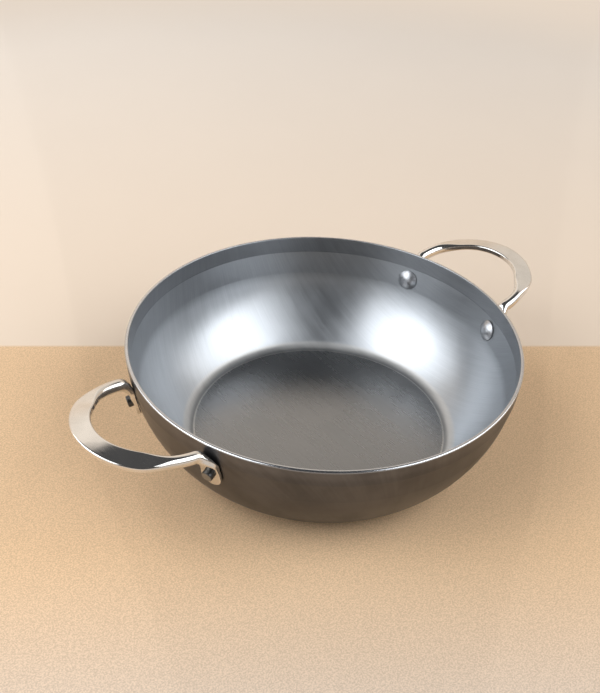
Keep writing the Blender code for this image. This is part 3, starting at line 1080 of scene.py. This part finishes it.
def room(sizes):
    """The studio round the pan: pale paper behind it, dark elsewhere, and haze past the floor."""
    world = bpy.data.worlds.new("Studio room")
    bpy.context.scene.world = world
    world.use_nodes = True
    tree = Tree(world.node_tree)
    background = world.node_tree.nodes["Background"]
    way = tree.add("ShaderNodeTexCoord").outputs["Generated"]
    up = tree.add("ShaderNodeSeparateXYZ", Vector=way).outputs["Z"]
    camera, shown = sight(tree)
    horizon = tree.maths("MULTIPLY", spread(tree, up, *HORIZON, 1.0, 0.0), shown)
    walls = blend(tree, horizon, sizes.dark, shade(sizes.haze, HORIZON_FACTOR))
    across = spread(tree, facing(tree, way, PAPER_AZIMUTH), *PAPER_SIDES, 0.0, 1.0)
    sheet = tree.maths("MULTIPLY", across, spread(tree, up, *PAPER_TOP, 1.0, 0.0))
    rise = spread(tree, up, *PAPER_RISE, 0.0, 1.0)
    backdrop = blend(tree, rise, shade(sizes.backdrop, PAPER_FACTOR), sizes.aloft)
    around = blend(tree, sheet, walls, backdrop)
    tree.join(background, "Color", blend(tree, camera, around, sizes.haze))
    light = spread(tree, facing(tree, way, BRIGHT_AZIMUTH), *BRIGHT_SIDES, *BRIGHTNESS)
    tree.join(background, "Strength", tree.maths("MAXIMUM", camera, light))


def lamp(name, azimuth, width, power):
    """An upright soft box that looks across at the pan."""
    light = bpy.data.lights.new(name, "AREA")
    light.shape = "RECTANGLE"
    light.size = width
    light.size_y = LAMP_TOP - LAMP_FOOT
    light.energy = power
    light.color = LAMP_COLOUR
    lit = bpy.data.objects.new(name, light)
    bpy.context.scene.collection.objects.link(lit)
    turn = radians(azimuth)
    away = Vector((cos(turn), sin(turn), 0.0))
    lit.location = away * LAMP_DISTANCE + Vector((0.0, 0.0, (LAMP_FOOT + LAMP_TOP) / 2))
    lit.rotation_euler = away.to_track_quat("Z", "Y").to_euler()
    lit.visible_camera = False


def make_camera(sizes):
    """The camera, which looks from the photograph's viewpoint."""
    camera = bpy.data.cameras.new("camera")
    camera.lens = sizes.lens
    camera.sensor_width = CAMERA_SENSOR
    viewpoint = bpy.data.objects.new("camera", camera)
    angles = Euler((CAMERA_TILT, CAMERA_ROLL, CAMERA_TURN))
    viewpoint.matrix_world = Matrix.LocRotScale(Vector(CAMERA_PLACE), angles, None)
    bpy.context.scene.collection.objects.link(viewpoint)
    bpy.context.scene.camera = viewpoint


def make_stage(sizes):
    bpy.context.scene.view_settings.view_transform = "Standard"
    make_floor(sizes)
    room(sizes)
    for side, azimuth, part in (
        ("left", LEFT_AZIMUTH, 1 + sizes.tilt),
        ("right", RIGHT_AZIMUTH, 1 - sizes.tilt),
    ):
        lamp("soft_box_" + side, azimuth, KEY_WIDTH, sizes.key * part)
        lamp("white_wall_" + side, azimuth, WASH_WIDTH, sizes.wash * part)
    make_camera(sizes)


# Operators and panel


class FRYING_PAN_OT_pan(Operator):
    """Turns the pressed body of the pan"""

    bl_idname = "frying_pan.pan"
    bl_label = "Pan Body"

    def execute(self, context):
        make_pan(context.scene.frying_pan_body)
        return {"FINISHED"}


class FRYING_PAN_OT_rivets(Operator):
    """Sets the four rivets"""

    bl_idname = "frying_pan.rivets"
    bl_label = "Rivets"

    def execute(self, context):
        scene = context.scene
        make_rivets(scene.frying_pan_body, scene.frying_pan_rivets, scene.frying_pan_handles)
        return {"FINISHED"}


class FRYING_PAN_OT_handles(Operator):
    """Lofts the two loop handles"""

    bl_idname = "frying_pan.handles"
    bl_label = "Loop Handles"

    def execute(self, context):
        scene = context.scene
        make_handles(scene.frying_pan_body, scene.frying_pan_rivets, scene.frying_pan_handles)
        return {"FINISHED"}


class FRYING_PAN_OT_stage(Operator):
    """Lays the floor and sets the lamps, the room and the camera"""

    bl_idname = "frying_pan.stage"
    bl_label = "Stage"

    def execute(self, context):
        make_stage(context.scene.frying_pan_stage)
        return {"FINISHED"}


OPERATORS = (
    FRYING_PAN_OT_pan,
    FRYING_PAN_OT_handles,
    FRYING_PAN_OT_rivets,
    FRYING_PAN_OT_stage,
)


class FRYING_PAN_PT_build(Panel):
    """Lists the pan's operators and the sizes that they read."""

    bl_label = "Frying Pan"
    bl_idname = "FRYING_PAN_PT_build"
    bl_space_type = "VIEW_3D"
    bl_region_type = "UI"
    bl_category = "Frying Pan"

    def draw(self, context):
        for operator in OPERATORS:
            self.layout.operator(operator.bl_idname)
        for name in GROUPS:
            sizes = getattr(context.scene, name)
            box = self.layout.box()
            for key in sizes.__annotations__:
                box.prop(sizes, key)


GROUPS = {
    "frying_pan_body": PanSizes,
    "frying_pan_rivets": RivetSizes,
    "frying_pan_handles": HandleSizes,
    "frying_pan_stage": StageSizes,
}
CLASSES = (*GROUPS.values(), *OPERATORS, FRYING_PAN_PT_build)


def register():
    for made in CLASSES:
        bpy.utils.register_class(made)
    for name, group in GROUPS.items():
        setattr(bpy.types.Scene, name, PointerProperty(type=group))


def unregister():
    for name in GROUPS:
        delattr(bpy.types.Scene, name)
    for made in reversed(CLASSES):
        bpy.utils.unregister_class(made)


def main():
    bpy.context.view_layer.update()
    register()
    bpy.ops.frying_pan.pan()
    bpy.ops.frying_pan.handles()
    bpy.ops.frying_pan.rivets()
    bpy.ops.frying_pan.stage()


if __name__ == "__main__":
    main()
